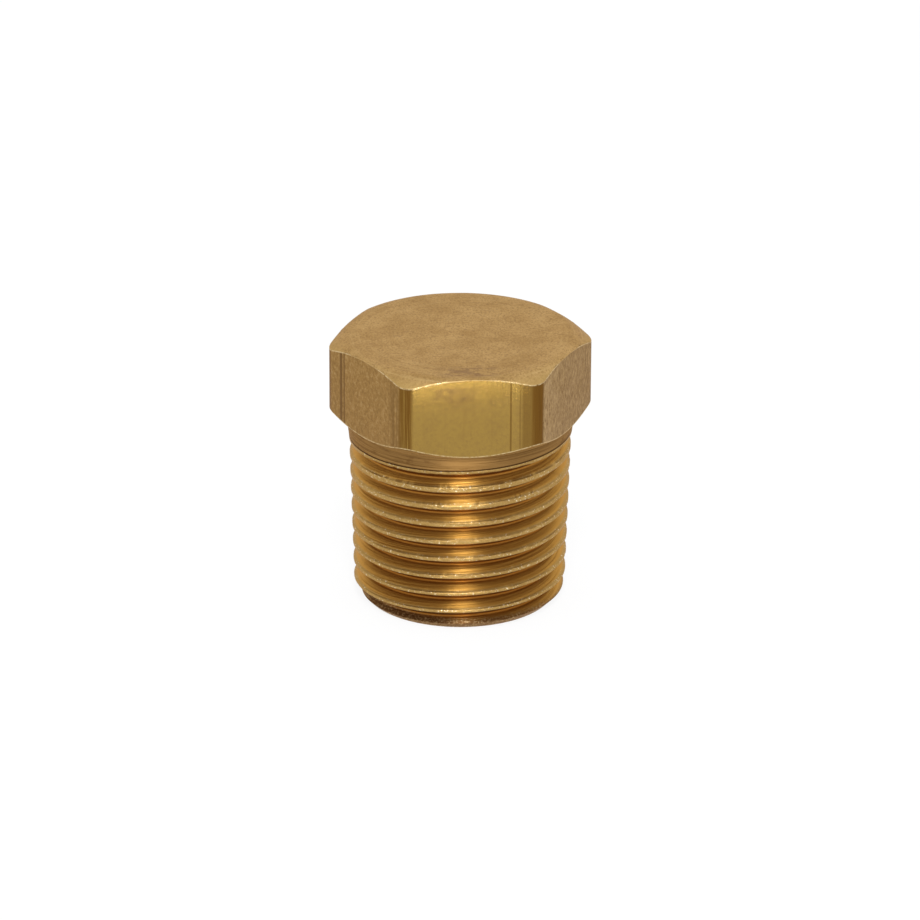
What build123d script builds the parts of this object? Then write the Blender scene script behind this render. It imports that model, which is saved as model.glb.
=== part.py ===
from build123d import *
import os
from math import atan, ceil, cos, degrees, radians, sqrt, tan

# Solid brass pipe plug: a hexagon head, a plain collar and a tapered right-hand pipe thread, turned from
# one length of hexagon bar. It stands on its small end, with its axis on Z and one flat facing -Y.

# Hexagon head
across_flats = 22.225
corner_round = 2.0
head_height = 8.15
crown_inset = 0.11
crown_angle = 30.0
collar_inset = 0.26
underside_angle = 34.0

# Tapered shank, measured over the crests of the thread
small_end_diameter = 20.2
taper_on_diameter = 1 / 16
end_chamfer_depth = 1.0
end_chamfer_angle = 45.0
collar_length = 2.0

# Thread, 14 turns to the inch: a groove at full depth up to the collar, which it then runs out into
pitch = 1.8143
thread_angle = 60.0
crest_flat = 0.5
root_flat = 0.45
full_thread_length = 16.154
run_out_turns = 0.4

# Sizes that follow from those above
run_out_length = run_out_turns * pitch
shank_length = full_thread_length + collar_length
overall_length = shank_length + head_height
head_radius = across_flats / 2
corner_reach = across_flats / sqrt(3)
crown_radius = head_radius - crown_inset
crown_drop = (corner_reach - crown_radius) * tan(radians(crown_angle))
collar_radius = head_radius - collar_inset
underside_rise = (corner_reach - collar_radius) * tan(radians(underside_angle))
taper = taper_on_diameter / 2
chamfer_height = end_chamfer_depth / (1 / tan(radians(end_chamfer_angle)) - taper)
flank_slope = tan(radians(thread_angle / 2))
thread_depth = (pitch - crest_flat - root_flat) / (2 * flank_slope)

# The tool that cuts the groove stands proud of the crests, by less than would meet the next turn. It starts
# below the end face, and over the run-out it backs away until it is clear of the metal.
tool_proud = crest_flat / (4 * flank_slope)
tool_half_height = root_flat / 2 + (thread_depth + tool_proud) * flank_slope
full_turns = ceil(full_thread_length / pitch + 1 / 2)
groove_start = full_thread_length - full_turns * pitch
run_out_rise = thread_depth + tool_proud


def crest_radius(height):
    """Radius over the thread's crests at a height above the small end."""
    return small_end_diameter / 2 + taper * height


def cut_groove(start, height, rise):
    """Cut one stretch of the groove: it climbs by height and moves outwards by rise, square to the axis."""
    lean = atan(rise / height)
    with BuildLine() as centre_line:
        Helix(
            pitch=pitch / cos(lean),
            height=height,
            radius=crest_radius(start),
            center=(0, 0, start),
            cone_angle=degrees(lean),
        )
    with BuildLine() as axis_line:
        Line((0, 0, start), (0, 0, start + height))
    with BuildSketch(Plane(origin=centre_line.line @ 0, x_dir=(1, 0, 0), z_dir=(0, -1, 0))) as tool:
        with BuildLine():
            Polyline(
                (-thread_depth, -root_flat / 2),
                (tool_proud, -tool_half_height),
                (tool_proud, tool_half_height),
                (-thread_depth, root_flat / 2),
                close=True,
            )
        make_face()
    sweep(tool.sketch, path=centre_line.line, binormal=axis_line.line, mode=Mode.SUBTRACT)


with BuildPart() as plug_body:
    # Hexagon bar, cut off to the height of the head
    with BuildSketch(Plane.XY.offset(shank_length)) as bar:
        RegularPolygon(head_radius, 6, major_radius=False)
        fillet(bar.vertices(), corner_round)
    extrude(amount=head_height)

    # The crown and the underside are turned to shallow cones, which take the corners off the bar
    with BuildSketch(Plane.YZ):
        with BuildLine():
            Polyline(
                (0, shank_length),
                (collar_radius, shank_length),
                (corner_reach, shank_length + underside_rise),
                (corner_reach, overall_length - crown_drop),
                (crown_radius, overall_length),
                (0, overall_length),
                close=True,
            )
        make_face()
    revolve(axis=Axis.Z, mode=Mode.INTERSECT)

    # Collar, tapered shank and end chamfer, turned below the head
    with BuildSketch(Plane.YZ):
        with BuildLine():
            Polyline(
                (0, 0),
                (crest_radius(0) - end_chamfer_depth, 0),
                (crest_radius(chamfer_height), chamfer_height),
                (crest_radius(full_thread_length), full_thread_length),
                (collar_radius, shank_length),
                (0, shank_length),
                close=True,
            )
        make_face()
    revolve(axis=Axis.Z)

    # Thread, cut turn by turn up the taper and then run out
    for turn in range(full_turns):
        cut_groove(groove_start + turn * pitch, pitch, taper * pitch)
    cut_groove(full_thread_length, run_out_length, taper * run_out_length + run_out_rise)

plug_body.part.label = "plug_body"
os.makedirs("parts", exist_ok=True)
export_step(plug_body.part, "parts/plug_body.step")
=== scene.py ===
import math

import bpy
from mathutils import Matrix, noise


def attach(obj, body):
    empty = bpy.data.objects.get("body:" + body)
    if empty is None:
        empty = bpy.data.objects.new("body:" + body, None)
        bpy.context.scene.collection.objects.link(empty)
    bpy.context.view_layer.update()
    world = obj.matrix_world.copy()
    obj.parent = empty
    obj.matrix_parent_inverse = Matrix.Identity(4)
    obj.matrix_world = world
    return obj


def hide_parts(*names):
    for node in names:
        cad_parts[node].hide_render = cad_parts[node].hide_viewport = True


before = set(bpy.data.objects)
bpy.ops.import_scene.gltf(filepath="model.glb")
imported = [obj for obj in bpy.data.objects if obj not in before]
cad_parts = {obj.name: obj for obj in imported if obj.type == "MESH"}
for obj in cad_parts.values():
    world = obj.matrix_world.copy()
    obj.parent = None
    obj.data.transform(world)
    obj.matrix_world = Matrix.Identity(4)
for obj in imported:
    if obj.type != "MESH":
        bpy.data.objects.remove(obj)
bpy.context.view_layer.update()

# The hexagon head is a slice of drawn brass bar with rounded corners. Its crown and underside were turned
# in the lathe to shallow cones, which take the corners off the bar and leave an arch over each flat.
mm = 0.001
across_flats = 22.225
corner_round = 2.0
corner_segments = 8
half_corner = math.radians(30)
turned_steps = 192
overall_height = 26.304
underside_height = 18.154
bar_spare = 1.0
collar_radius = 10.8525
crown_radius = 11.0025
crown_slope = math.tan(math.radians(30.0))
crown_rings = (8.0, 4.0, 0.0)
rim_softness = 0.5
rim_steps = 6
underside_slope = math.tan(math.radians(34.0))
cone_reach = 14.0
edge_break = 0.06
sharp_edge = math.radians(25)


def only(piece):
    """Make one piece the only one selected, and the active one."""
    bpy.ops.object.select_all(action="DESELECT")
    piece.select_set(True)
    bpy.context.view_layer.objects.active = piece


def drawn(name, outline):
    """Draw an outline of (radius, height) points in mm by extruding one vertex along it."""
    bpy.ops.object.select_all(action="DESELECT")
    bpy.ops.mesh.primitive_plane_add(size=mm, location=(0, 0, 0))
    piece = bpy.context.object
    piece.name = name
    bpy.ops.object.mode_set(mode="EDIT")
    bpy.ops.mesh.select_mode(type="VERT")
    bpy.ops.mesh.merge(type="CENTER")
    bpy.ops.transform.translate(value=(outline[0][0] * mm, 0, outline[0][1] * mm))
    for start, end in zip(outline, outline[1:]):
        step = ((end[0] - start[0]) * mm, 0, (end[1] - start[1]) * mm)
        bpy.ops.mesh.extrude_vertices_move(TRANSFORM_OT_translate={"value": step})
    bpy.ops.object.mode_set(mode="OBJECT")
    return piece


def close_up(piece):
    """Merge the doubled points of a piece and turn its faces outwards."""
    only(piece)
    bpy.ops.object.mode_set(mode="EDIT")
    bpy.ops.mesh.select_all(action="SELECT")
    bpy.ops.mesh.remove_doubles(threshold=0.001 * mm)
    bpy.ops.mesh.normals_make_consistent(inside=False)
    bpy.ops.object.mode_set(mode="OBJECT")


def turned(name, outline):
    """Spin an outline round the axis into a closed solid, as the lathe does."""
    piece = drawn(name, outline)
    bpy.ops.object.mode_set(mode="EDIT")
    bpy.ops.mesh.select_all(action="SELECT")
    bpy.ops.mesh.spin(steps=turned_steps, angle=2 * math.pi, center=(0, 0, 0), axis=(0, 0, 1))
    bpy.ops.object.mode_set(mode="OBJECT")
    close_up(piece)
    return piece


def combine(piece, other, how):
    """Join another solid to a piece, or keep what both share; the other is then thrown away."""
    only(piece)
    joint = piece.modifiers.new("Combine", "BOOLEAN")
    joint.operation = how
    joint.solver = "EXACT"
    joint.object = other
    bpy.ops.object.modifier_apply(modifier=joint.name)
    bpy.data.objects.remove(other, do_unlink=True)


bpy.ops.object.select_all(action="DESELECT")
bpy.ops.mesh.primitive_cylinder_add(
    vertices=6,
    radius=across_flats / math.sqrt(3) * mm,
    depth=(overall_height - underside_height + 2 * bar_spare) * mm,
    location=(0, 0, (overall_height + underside_height) / 2 * mm),
    rotation=(0, 0, half_corner),
)
plug = bpy.context.object
plug.name = "plug"
bpy.ops.object.transform_apply(location=True, rotation=True, scale=True)
bpy.ops.object.mode_set(mode="EDIT")
bpy.ops.mesh.select_mode(type="EDGE")
bpy.ops.mesh.select_all(action="DESELECT")
bpy.ops.object.mode_set(mode="OBJECT")
for edge in plug.data.edges:
    low, high = (plug.data.vertices[index].co.z for index in edge.vertices)
    edge.select = abs(high - low) > mm
bpy.ops.object.mode_set(mode="EDIT")
bpy.ops.mesh.bevel(
    offset=corner_round * math.tan(half_corner) * mm,
    segments=corner_segments,
    profile=0.5,
    affect="EDGES",
)
bpy.ops.object.mode_set(mode="OBJECT")

crown_outline = [(0, underside_height), (collar_radius, underside_height)]
crown_outline.append((cone_reach, underside_height + (cone_reach - collar_radius) * underside_slope))
crown_outline.append((cone_reach, overall_height - (cone_reach - crown_radius) * crown_slope))
for step in range(rim_steps + 1):
    # A parabola that meets the cone and the flat top without a corner
    past_rim = rim_softness * (1 - 2 * step / rim_steps)
    sag = crown_slope * (past_rim + rim_softness) ** 2 / (4 * rim_softness)
    crown_outline.append((crown_radius + past_rim, overall_height - sag))
crown_outline += [(ring, overall_height) for ring in crown_rings]
combine(plug, turned("crown", crown_outline), "INTERSECT")
close_up(plug)
only(plug)
broken_edge = plug.modifiers.new("Broken edge", "BEVEL")
broken_edge.width = edge_break * mm
broken_edge.segments = 2
broken_edge.limit_method = "ANGLE"
broken_edge.angle_limit = sharp_edge
broken_edge.use_clamp_overlap = False
bpy.ops.object.modifier_apply(modifier=broken_edge.name)
close_up(plug)


def bare_brass(name):
    """Start a finish of bare brass, and return its material, node tree and shader."""
    material = bpy.data.materials.new(name)
    material.use_nodes = True
    shader = material.node_tree.nodes["Principled BSDF"]
    shader.inputs["Metallic"].default_value = 1.0
    shader.inputs["Specular Tint"].default_value = (0.83, 0.7, 0.6, 1.0)
    return material, material.node_tree, shader


def lay(kind, *feeds, **settings):
    """Add a node to the finish in hand; its feeds, in order, are numbers or other nodes' outputs."""
    node = finish.nodes.new("ShaderNode" + kind)
    for name, value in settings.items():
        setattr(node, name, value)
    for place, feed in enumerate(feeds):
        if isinstance(feed, bpy.types.NodeSocket):
            finish.links.new(feed, node.inputs[place])
        elif feed is not None:
            node.inputs[place].default_value = feed
    return node.outputs


def maths(how, *feeds):
    """One sum on the finish in hand."""
    return lay("Math", *feeds, operation=how)[0]


def times(first, *others):
    """The product of outputs and numbers."""
    for other in others:
        first = maths("MULTIPLY", first, other)
    return first


def fade(value, none, full):
    """0 up to none, 1 from full on, and smooth between; full may be the lower of the two."""
    return lay("MapRange", value, none, full, 0.0, 1.0, interpolation_type="SMOOTHSTEP")[0]


def strip(value, middle, width):
    """1 where a value is near the middle of a strip, and 0 outside it."""
    away = maths("ABSOLUTE", maths("SUBTRACT", value, middle))
    return fade(away, width * 0.7, width * 0.3)


def grain(along, detail, vary):
    """Noise of 0 to 1 along three outputs, each with the number of grains in one of its units."""
    place = lay("CombineXYZ", *(times(value, scale) for value, scale in along))[0]
    return lay("TexNoise", place, None, 1.0, detail, vary)[0]


def tint(share, colour, other):
    """Go from one colour to another by a share."""
    node = lay("Mix", share, data_type="RGBA")[2].node
    for place, feed in ((6, colour), (7, other)):
        if isinstance(feed, bpy.types.NodeSocket):
            finish.links.new(feed, node.inputs[place])
        else:
            node.inputs[place].default_value = (*feed, 1.0)
    return node.outputs[2]


def distance(x, y):
    """How far it is by x and y together, which are square to each other."""
    return maths("SQRT", maths("ADD", times(x, x), times(y, y)))


def place_in_mm():
    """The x, y and z of a point of the plug in mm, and its distance from the axis."""
    point = lay("VectorMath", lay("TexCoord")["Object"], None, None, 1 / mm, operation="SCALE")[0]
    x, y, z = lay("SeparateXYZ", point)
    return x, y, z, distance(x, y)


def dress(colour, roughness, marks, mark_height):
    """Give the finish in hand its colour, its roughness and its marks, as high as mark_height in mm."""
    finish.links.new(colour, surface.inputs["Base Color"])
    finish.links.new(roughness, surface.inputs["Roughness"])
    bump = finish.nodes.new("ShaderNodeBump")
    bump.inputs["Strength"].default_value = 1.0
    bump.inputs["Distance"].default_value = mark_height * mm
    finish.links.new(marks, bump.inputs["Height"])
    finish.links.new(bump.outputs["Normal"], surface.inputs["Normal"])


# The crown was faced in the lathe, which left faint rings towards its rim. Handling has mottled it since,
# with a smudge near its front edge and two small dark spots.
dull_crown = (0.4, 0.243, 0.085)
pale_crown = (0.54, 0.35, 0.14)
crown_speck = (0.28, 0.165, 0.062)
bright_speck = (0.64, 0.44, 0.2)
lathe_ring = (0.56, 0.38, 0.16)
crown_stain = (0.25, 0.145, 0.07)
crown_smudge = (0.24, 0.14, 0.068)
smudge_x = -0.3
smudge_y = -9.3
smudge_length = 5.0
smudge_width = 2.4
dark_spot = (0.16, 0.08, 0.03)
spot_places = ((0.2, -0.1), (9.0, 3.3))
rubbed_corner = (0.47, 0.31, 0.11)
faced_brass, finish, surface = bare_brass("faced_brass")
x, y, z, radius = place_in_mm()
patches = grain(((x, 0.3), (y, 0.3), (z, 0.3)), 5.0, 0.7)
specks = grain(((x, 5.0), (y, 3.5), (z, 4.0)), 5.0, 0.75)
rings = grain(((radius, 3.5), (x, 0.12), (y, 0.12)), 5.0, 0.7)
stains = grain(((x, 0.9), (y, 1.6), (z, 1.0)), 3.0, 0.6)
on_top = fade(z, underside_height, overall_height - 2)
colour = tint(fade(patches, 0.3, 0.7), dull_crown, pale_crown)
colour = tint(times(fade(specks, 0.46, 0.66), 0.8), colour, crown_speck)
colour = tint(times(fade(specks, 0.42, 0.3), 0.6), colour, bright_speck)
ring_share = maths("MULTIPLY_ADD", fade(radius, 5.0, 9.0), 0.45, 0.2)
colour = tint(times(fade(rings, 0.5, 0.7), ring_share), colour, lathe_ring)
colour = tint(times(fade(stains, 0.62, 0.78), 0.5), colour, crown_stain)
handled = times(strip(x, smudge_x, smudge_length), strip(y, smudge_y, smudge_width), on_top)
colour = tint(times(handled, fade(stains, 0.4, 0.6), 0.7), colour, crown_smudge)
for spot_x, spot_y in spot_places:
    from_spot = distance(maths("SUBTRACT", x, spot_x), maths("SUBTRACT", y, spot_y))
    colour = tint(times(fade(from_spot, 0.2, 0.05), on_top, 0.7), colour, dark_spot)
colour = tint(times(fade(radius, 11.3, 12.2), 0.6), colour, rubbed_corner)
roughness = maths("MULTIPLY_ADD", specks, 0.2, 0.3)
marks = maths("MULTIPLY_ADD", specks, 0.5, rings)
dress(colour, roughness, marks, 0.03)

# The flats keep the drawn skin of the bar: draw lines up and down, brown in the rounded corners, and bright
# nicks along the edges.
# Each flat has its own colour by the way it faces, which is painted reflection; the corners' brown is partly
# painted shade, and the bright edges partly a painted highlight. The front flat is the smoothest, and those
# at its sides are scuffed.
front_skin_reflection = (0.36, 0.226, 0.056)
right_skin_reflection = (0.36, 0.236, 0.112)
left_skin_reflection = (0.345, 0.2, 0.066)
paler_front_end_skin = (0.5, 0.35, 0.18)
dull_patch = (0.27, 0.16, 0.05)
skin_speck = (0.27, 0.16, 0.052)
faint_line = (0.25, 0.14, 0.04)
scuff_floor = (0.19, 0.108, 0.04)
scuff_edge = (0.54, 0.375, 0.18)
left_band = (0.2, 0.11, 0.035)
left_line = (0.15, 0.078, 0.028)
draw_line_and_corner_shade = (0.13, 0.056, 0.01)
# Middle and width of each single draw line in mm, and the share of its colour in front; the two wide ones lie
# over the front-right rounded corner as painted shade
left_lines = ((-3.85, 0.4), (-3.35, 0.2))
front_lines_and_corner_shade = ((3.67, 0.16, 0.6), (4.55, 0.16, 0.35), (5.2, 0.9, 0.5), (6.35, 0.9, 1.0))
front_smudge = (0.22, 0.13, 0.055)
handled_x = -1.6
handled_z = 24.6
handled_length = 4.0
handled_height = 1.6
corner_marks_and_shade = (0.17, 0.08, 0.014)
edge_nicks_and_highlight = (0.66, 0.5, 0.27)
left_turn = math.radians(60)
drawn_brass, finish, surface = bare_brass("drawn_brass")
x, y, z, radius = place_in_mm()
facing_x, facing_y = lay("SeparateXYZ", lay("NewGeometry")["Normal"])[:2]
on_right = fade(facing_x, 0.55, 0.8)
on_left = fade(facing_x, -0.55, -0.8)
on_front = fade(facing_y, -0.52, -0.7)
along_left = maths("MULTIPLY_ADD", x, math.cos(left_turn), times(y, -math.sin(left_turn)))
patches = grain(((x, 0.5), (y, 0.5), (z, 0.4)), 4.0, 0.6)
specks = grain(((x, 3.0), (y, 3.0), (z, 3.0)), 5.0, 0.8)
draw_lines = grain(((x, 6.0), (y, 6.0), (z, 0.15)), 4.0, 0.65)
scuffs = grain(((x, 5.0), (y, 5.0), (z, 1.6)), 5.0, 0.8)
scratches = grain(((along_left, 3.0), (z, 2.2), (radius, 1.0)), 6.0, 0.8)
smears = grain(((x, 0.9), (y, 0.9), (z, 1.4)), 5.0, 0.6)
# Painted reflection: each flat takes its own colour from the way it faces
colour = tint(on_right, front_skin_reflection, right_skin_reflection)
colour = tint(on_left, colour, left_skin_reflection)
# The right flat is made paler towards its front end
colour = tint(times(on_right, fade(y, -6.0, -10.5), 0.6), colour, paler_front_end_skin)
colour = tint(times(fade(patches, 0.5, 0.75), 0.4), colour, dull_patch)
colour = tint(times(fade(specks, 0.42, 0.72), 0.5), colour, skin_speck)
colour = tint(times(fade(draw_lines, 0.55, 0.75), 0.25), colour, faint_line)
for side, wear, floor_share, edge_share in ((on_right, scuffs, 0.8, 0.6), (on_left, scratches, 0.5, 0.4)):
    colour = tint(times(fade(wear, 0.47, 0.62), side, floor_share), colour, scuff_floor)
    colour = tint(times(fade(wear, 0.5, 0.36), side, edge_share), colour, scuff_edge)
band = times(on_left, fade(along_left, 3.6, 4.6), fade(draw_lines, 0.4, 0.55))
colour = tint(times(band, 0.7), colour, left_band)
for middle, width in left_lines:
    colour = tint(times(on_left, strip(along_left, middle, width), 0.8), colour, left_line)
# The thin lines are draw lines; the two wide ones darken the front-right corner as painted shade
for middle, width, share in front_lines_and_corner_shade:
    colour = tint(times(on_front, strip(x, middle, width), share), colour, draw_line_and_corner_shade)
handled = times(strip(x, handled_x, handled_length), strip(z, handled_z, handled_height))
colour = tint(times(on_front, handled, fade(smears, 0.35, 0.7), 0.7), colour, front_smudge)
# The rounded corners are painted dark brown along the draw lines: partly draw marks, partly painted shade
in_corner = fade(radius, 12.36, 12.47)
colour = tint(times(in_corner, fade(draw_lines, 0.2, 0.6)), colour, corner_marks_and_shade)
arch = maths("MULTIPLY_ADD", radius, -crown_slope, overall_height + crown_radius * crown_slope)
foot = maths("MULTIPLY_ADD", radius, underside_slope, underside_height - collar_radius * underside_slope)
to_edge = maths("MINIMUM", maths("SUBTRACT", arch, z), maths("SUBTRACT", z, foot))
# Bright nicks along the arch and foot edges, partly a painted edge highlight
colour = tint(times(fade(to_edge, 0.16, 0.05), fade(specks, 0.35, 0.55)), colour, edge_nicks_and_highlight)
roughness = maths("MULTIPLY_ADD", maths("MAXIMUM", on_right, on_left), 0.18, 0.23)
marks = maths("MULTIPLY_ADD", specks, 0.5, times(draw_lines, 0.5))
marks = maths("MULTIPLY_ADD", times(scuffs, on_right), 0.8, marks)
dress(colour, roughness, marks, 0.04)

# The shank below the head is turned to a slight taper and threaded with a die: a right-hand groove that
# climbs to the collar and runs out round the back, and a chamfer on the small end to start it.
pitch = 1.8143
crest_start = 10.1
taper = 1 / 32
groove_top = 16.154
run_out_length = 0.4 * pitch
collar_slope = (collar_radius - crest_start - taper * groove_top) / (underside_height - groove_top)
collar_overlap = 0.3
chamfer_radius = 9.1
blank_height = 20.0
smooth_angle = math.radians(30)
thread_depth = 1.205
thread_turns = 13
thread_steps = 360
thread_foot = groove_top - (thread_turns - 2) * pitch
# Half a turn from crest to root: height from the middle of the crest, and depth below it
crest_to_root = [
    (0.0, 0.0), (0.05, 0.0), (0.09, 0.012), (0.125, 0.045), (0.15, 0.085), (0.24, 0.241),
    (0.5, 0.691), (0.736, 1.1), (0.785, 1.16), (0.845, 1.195), (pitch / 2, thread_depth),
]
# Towards the collar the groove loses depth, so the crests grow broader, as a tapered die leaves them
groove_loss = 0.2
loss_start = 3.0
loss_height = 12.0
# The crests are chipped where a fine noise and a coarse one add up to more than the threshold
chip_size = 0.22
chip_patch = 0.9
patch_share = 0.6
chip_threshold = 0.2
chip_depth = 0.13
chip_reach = 0.25
chip_ceiling = groove_top + 0.7
# In front, between two shares of a turn, the last crest is a lip a little lower than the collar above it
lip_start = -0.424
lip_end = -0.152
lip_ramp = 0.015
lip_foot = 0.3
lip_top = 1.015
lip_drop = 0.13

groove_profile = [(rise - pitch / 2, depth) for rise, depth in crest_to_root]
groove_profile += [(pitch / 2 - rise, depth) for rise, depth in reversed(crest_to_root[:-1])]
shank = drawn("shank", [(crest_start - depth, thread_foot + rise) for rise, depth in groove_profile])
turns = shank.modifiers.new("Turns", "SCREW")
turns.axis = "Z"
turns.angle = 2 * math.pi
turns.screw_offset = pitch * mm
turns.iterations = thread_turns
turns.steps = thread_steps
turns.render_steps = thread_steps
only(shank)
bpy.ops.object.modifier_apply(modifier=turns.name)
close_up(shank)
for vertex in shank.data.vertices:
    across, back, height = vertex.co / mm
    around = math.atan2(back, across) / (2 * math.pi)
    depth = crest_start - math.hypot(across, back)
    turn = round((height - groove_top) / pitch - around)
    climb = (turn + around) * pitch
    lift = max(0.0, climb / run_out_length) * thread_depth
    lift += groove_loss * min(1.0, max(0.0, (height - loss_start) / loss_height))
    crest = crest_start + taper * height + max(0.0, height - groove_top) * (collar_slope - taper)
    if turn == 0 and lip_foot < height - groove_top - climb < lip_top:
        into_lip = min(around - lip_start, lip_end - around) / lip_ramp
        crest -= lip_drop * min(1.0, max(0.0, into_lip))
    depth = max(0.0, depth - lift)
    chip = noise.noise(vertex.co / (chip_size * mm))
    chip += patch_share * noise.noise(vertex.co / (chip_patch * mm))
    if height < chip_ceiling:
        depth += chip_depth * max(0.0, chip - chip_threshold) * max(0.0, 1 - depth / chip_reach)
    radius = crest - depth
    vertex.co.x = radius * math.cos(around * 2 * math.pi) * mm
    vertex.co.y = radius * math.sin(around * 2 * math.pi) * mm
only(shank)
for height, outside in ((0.0, (0, 0, -1)), (underside_height + collar_overlap, (0, 0, 1))):
    bpy.ops.object.mode_set(mode="EDIT")
    bpy.ops.mesh.select_all(action="SELECT")
    bpy.ops.mesh.bisect(
        plane_co=(0, 0, height * mm),
        plane_no=outside,
        use_fill=True,
        clear_outer=True,
        threshold=0.0001 * mm,
    )
    bpy.ops.object.mode_set(mode="OBJECT")
close_up(shank)
blank_outline = [(0, 0), (chamfer_radius, 0), (cone_reach, cone_reach - chamfer_radius)]
blank_outline += [(cone_reach, blank_height), (0, blank_height)]
combine(shank, turned("blank", blank_outline), "INTERSECT")
combine(plug, shank, "UNION")
close_up(plug)
only(plug)
bpy.ops.object.shade_smooth_by_angle(angle=smooth_angle)


def combed():
    """Stretch the gloss of the finish in hand across the tool lines, which run round the axis."""
    surface.inputs["Anisotropic"].default_value = 0.85
    surface.inputs["Anisotropic Rotation"].default_value = 0.25
    tangent = finish.nodes.new("ShaderNodeTangent")
    tangent.direction_type = "RADIAL"
    tangent.axis = "Z"
    finish.links.new(tangent.outputs["Tangent"], surface.inputs["Tangent"])


def above_lip(x, y, z):
    """How far a point is above the lip at the foot of the collar, which climbs with the thread."""
    around = times(maths("ARCTAN2", y, x), 1 / (2 * math.pi))
    return maths("SUBTRACT", maths("SUBTRACT", z, groove_top + lip_top), times(around, pitch))


# The thread is cut brass: golden flanks with fine tool lines, and dull crests with bright nicks. The roots
# are painted brown and the downward-facing undersides dark, both as painted shade. The chamfer is painted
# dark, as shade with some stain, and grime has gathered under the lip.
dull_crest = (0.44, 0.272, 0.085)
golden_flank = (0.535, 0.282, 0.058)
root_shade_brown = (0.33, 0.13, 0.02)
underside_shade_colour = (0.13, 0.055, 0.014)
rubbed_crest = (0.62, 0.45, 0.22)
crest_nick = (0.9, 0.77, 0.52)
crest_speck = (0.25, 0.13, 0.04)
thread_stain = (0.3, 0.15, 0.04)
run_out_brown = (0.32, 0.178, 0.057)
lip_grime = (0.11, 0.035, 0.012)
chamfer_shade_and_stain = (0.2, 0.1, 0.035)
chamfer_nick = (0.5, 0.35, 0.17)
cut_brass, finish, surface = bare_brass("cut_brass")
combed()
x, y, z, radius = place_in_mm()
facing_z = lay("SeparateXYZ", lay("NewGeometry")["Normal"])[2]
below_crest = maths("SUBTRACT", maths("MULTIPLY_ADD", z, taper, crest_start), radius)
on_crest = fade(below_crest, 0.22, 0.06)
specks = grain(((x, 5.0), (y, 5.0), (z, 5.0)), 4.0, 0.65)
stains = grain(((x, 0.5), (y, 0.5), (z, 0.9)), 4.0, 0.7)
up_the_cut = maths("MULTIPLY_ADD", radius, 9.0, times(z, 6.0))
tool_lines = grain(((up_the_cut, 1.0), (x, 0.05), (y, 0.05)), 3.0, 0.6)
colour = tint(fade(below_crest, 0.15, 0.4), dull_crest, golden_flank)
# Painted shade: the groove roots are painted darker and browner
colour = tint(fade(below_crest, 0.75, 1.15), colour, root_shade_brown)
# Painted shade: the downward-facing undersides below each crest are painted dark
underside_shade = times(fade(facing_z, -0.35, -0.7), fade(below_crest, 0.05, 0.2))
colour = tint(times(underside_shade, 0.9), colour, underside_shade_colour)
colour = tint(times(on_crest, fade(specks, 0.5, 0.65), 0.45), colour, rubbed_crest)
colour = tint(times(fade(below_crest, 0.4, 0.1), fade(specks, 0.61, 0.66)), colour, crest_nick)
colour = tint(times(on_crest, fade(specks, 0.46, 0.36), 0.35), colour, crest_speck)
colour = tint(times(fade(stains, 0.6, 0.8), 0.5), colour, thread_stain)
run_out = times(fade(z, 15.3, 15.9), fade(y, -1.0, 2.0), on_crest)
colour = tint(run_out, colour, run_out_brown)
under_lip = times(strip(above_lip(x, y, z), -0.55, 0.5), fade(y, 2.0, -2.0))
colour = tint(times(under_lip, fade(specks, 0.46, 0.6), 0.85), colour, lip_grime)
# The downward-facing end chamfer is painted dark: painted shade, with some brown stain
on_chamfer = times(fade(z, 1.1, 0.7), fade(below_crest, 0.0, 0.25))
colour = tint(on_chamfer, colour, chamfer_shade_and_stain)
colour = tint(times(on_chamfer, fade(specks, 0.5, 0.62)), colour, chamfer_nick)
roughness = maths("MULTIPLY_ADD", specks, 0.08, 0.3)
marks = maths("MULTIPLY_ADD", times(specks, on_crest), 0.6, tool_lines)
dress(colour, roughness, marks, 0.06)

# The collar between thread and head is left as turned, with coarser tool lines and tarnished patches, and
# with a dark line of painted shade at its foot in front, where it steps down to the lip.
dark_collar = (0.245, 0.13, 0.038)
pale_collar = (0.46, 0.265, 0.09)
collar_patch = (0.17, 0.075, 0.02)
foot_shade_line = (0.07, 0.03, 0.01)
collar_brass, finish, surface = bare_brass("collar_brass")
combed()
x, y, z, radius = place_in_mm()
patches = grain(((x, 0.5), (y, 0.5), (z, 1.5)), 4.0, 0.7)
tool_lines = grain(((z, 7.0), (x, 0.08), (y, 0.08)), 4.0, 0.65)
colour = tint(fade(tool_lines, 0.35, 0.65), dark_collar, pale_collar)
colour = tint(times(fade(patches, 0.52, 0.7), 0.6), colour, collar_patch)
# Painted shade: a dark line along the collar's foot, under its step down to the lip
shade_at_foot = times(strip(above_lip(x, y, z), 0.05, 0.26), fade(y, 2.0, -2.0))
colour = tint(times(shade_at_foot, 0.9), colour, foot_shade_line)
roughness = maths("MULTIPLY_ADD", tool_lines, 0.1, 0.57)
dress(colour, roughness, tool_lines, 0.05)

# Head and shank are one piece of brass, and its faces take their finish by where they are. The collar's foot
# climbs with the lip, and past its peak round the back it comes down again along the run-out.
finishes = [cut_brass, collar_brass, drawn_brass, faced_brass]
lip_peak = 0.12
lip_fall = (0.5 + lip_peak) / (0.5 - lip_peak)
lip_margin = 0.01
head_margin = 0.1
upright = 0.3
level = 0.9
plug.data.materials.clear()
for material in finishes:
    plug.data.materials.append(material)
for face in plug.data.polygons:
    height = face.center.z / mm
    around = math.atan2(face.center.y, face.center.x) / (2 * math.pi)
    collar_foot = groove_top + lip_top + pitch * min(around, lip_peak - (around - lip_peak) * lip_fall)
    on_head = height > underside_height + head_margin
    if on_head and face.normal.z >= upright:
        skin = faced_brass
    elif on_head and face.normal.z > -upright:
        skin = drawn_brass
    elif on_head or height > collar_foot + lip_margin:
        skin = collar_brass
    elif face.normal.z < -level:
        skin = faced_brass
    else:
        skin = cut_brass
    face.material_index = finishes.index(skin)
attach(plug, "root")
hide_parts("plug_body")

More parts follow.
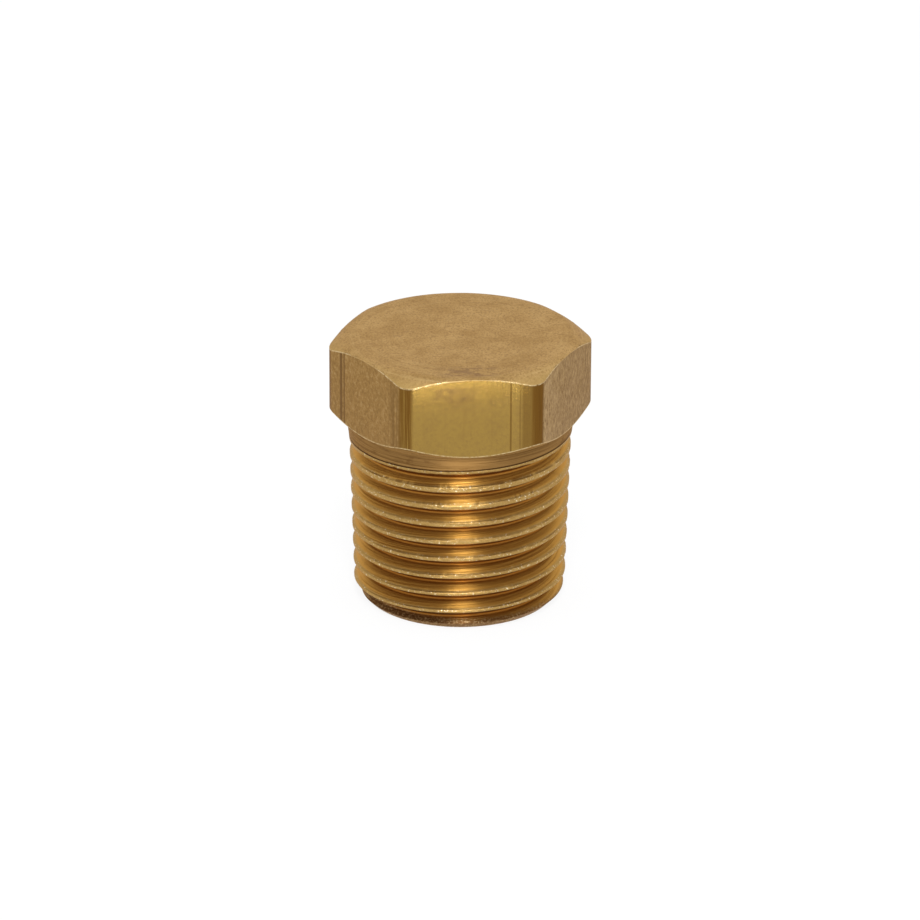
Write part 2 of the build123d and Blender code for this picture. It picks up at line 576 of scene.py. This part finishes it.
# A white table top carries the plug. It glows where the camera sees it, straight or in the brass, so that it
# is white in the picture and keeps a faint shadow.
table_size = 4.0
table_glow = 0.88
bpy.ops.object.select_all(action="DESELECT")
bpy.ops.mesh.primitive_plane_add(size=table_size, location=(0, 0, 0))
table_top = bpy.context.object
table_top.name = "table_top"
white = bpy.data.materials.new("white_table")
white.use_nodes = True
nodes = white.node_tree.nodes
links = white.node_tree.links
nodes["Principled BSDF"].inputs["Base Color"].default_value = (0.9, 0.9, 0.9, 1)
nodes["Principled BSDF"].inputs["Roughness"].default_value = 0.9
glow = nodes.new("ShaderNodeEmission")
glow.inputs["Strength"].default_value = 1.0
seen = nodes.new("ShaderNodeLightPath")
direct = nodes.new("ShaderNodeMath")
direct.operation = "MAXIMUM"
mirrored = nodes.new("ShaderNodeMath")
mirrored.operation = "MAXIMUM"
links.new(seen.outputs["Is Camera Ray"], direct.inputs[0])
links.new(seen.outputs["Is Glossy Ray"], direct.inputs[1])
links.new(direct.outputs[0], mirrored.inputs[0])
links.new(seen.outputs["Is Transmission Ray"], mirrored.inputs[1])
glow_share = nodes.new("ShaderNodeMath")
glow_share.operation = "MULTIPLY"
glow_share.inputs[1].default_value = table_glow
links.new(mirrored.outputs[0], glow_share.inputs[0])
both = nodes.new("ShaderNodeMixShader")
links.new(glow_share.outputs[0], both.inputs["Fac"])
links.new(nodes["Principled BSDF"].outputs["BSDF"], both.inputs[1])
links.new(glow.outputs["Emission"], both.inputs[2])
links.new(both.outputs["Shader"], nodes["Material Output"].inputs["Surface"])
table_top.data.materials.append(white)

# The studio is white all round. A tall softbox high in front lights the thread, and a weak low one the collar
# and the front flat. Both stand a little to the left. Their places and sizes are in metres.
softbox_left = 0.041
softbox_width = 0.13
tall_tilt = math.radians(50.0)
tall_distance = 0.8
tall_aim = 0.012
tall_back = tall_distance * math.cos(tall_tilt)
tall_up = tall_aim + tall_distance * math.sin(tall_tilt)


def softbox(name, back, up, tilt, turn, height, power):
    """Stand a softbox in front of the plug, back and up from it, tilted down and turned towards it."""
    bpy.ops.object.light_add(
        type="AREA",
        location=(-softbox_left, -back, up),
        rotation=(math.pi / 2 - tilt, 0, -turn),
    )
    lamp = bpy.context.object
    lamp.name = name
    lamp.data.shape = "RECTANGLE"
    lamp.data.size = softbox_width
    lamp.data.size_y = height
    lamp.data.energy = power


studio = bpy.data.worlds.new("studio")
bpy.context.scene.world = studio
studio.use_nodes = True
studio.node_tree.nodes["Background"].inputs["Color"].default_value = (1, 1, 1, 1)
studio.node_tree.nodes["Background"].inputs["Strength"].default_value = 1.0
softbox("softbox", tall_back, tall_up, tall_tilt, turn=0.08, height=0.36, power=3.4)
softbox("low_softbox", back=0.75, up=0.07, tilt=0.0, turn=0.055, height=0.12, power=0.6)

# The photograph's viewpoint is a little above the plug and to its left, far back with a long lens, and the
# camera leans by a quarter of a degree.
camera_distance = 610.4
camera_elevation = math.radians(23.07)
camera_azimuth = math.radians(5.63)
camera_lean = math.radians(0.263)
aim_height = 13.4
reach = camera_distance * math.cos(camera_elevation)
bpy.ops.object.camera_add(
    location=(
        -reach * math.sin(camera_azimuth) * mm,
        -reach * math.cos(camera_azimuth) * mm,
        (aim_height + camera_distance * math.sin(camera_elevation)) * mm,
    ),
    rotation=(math.pi / 2 - camera_elevation, 0, -camera_azimuth),
)
camera = bpy.context.object
camera.rotation_euler.rotate_axis("Z", camera_lean)
camera.data.lens = 249.77
camera.data.sensor_width = 36
camera.data.clip_start = 0.01
bpy.context.scene.camera = camera
bpy.context.scene.view_settings.view_transform = "Standard"
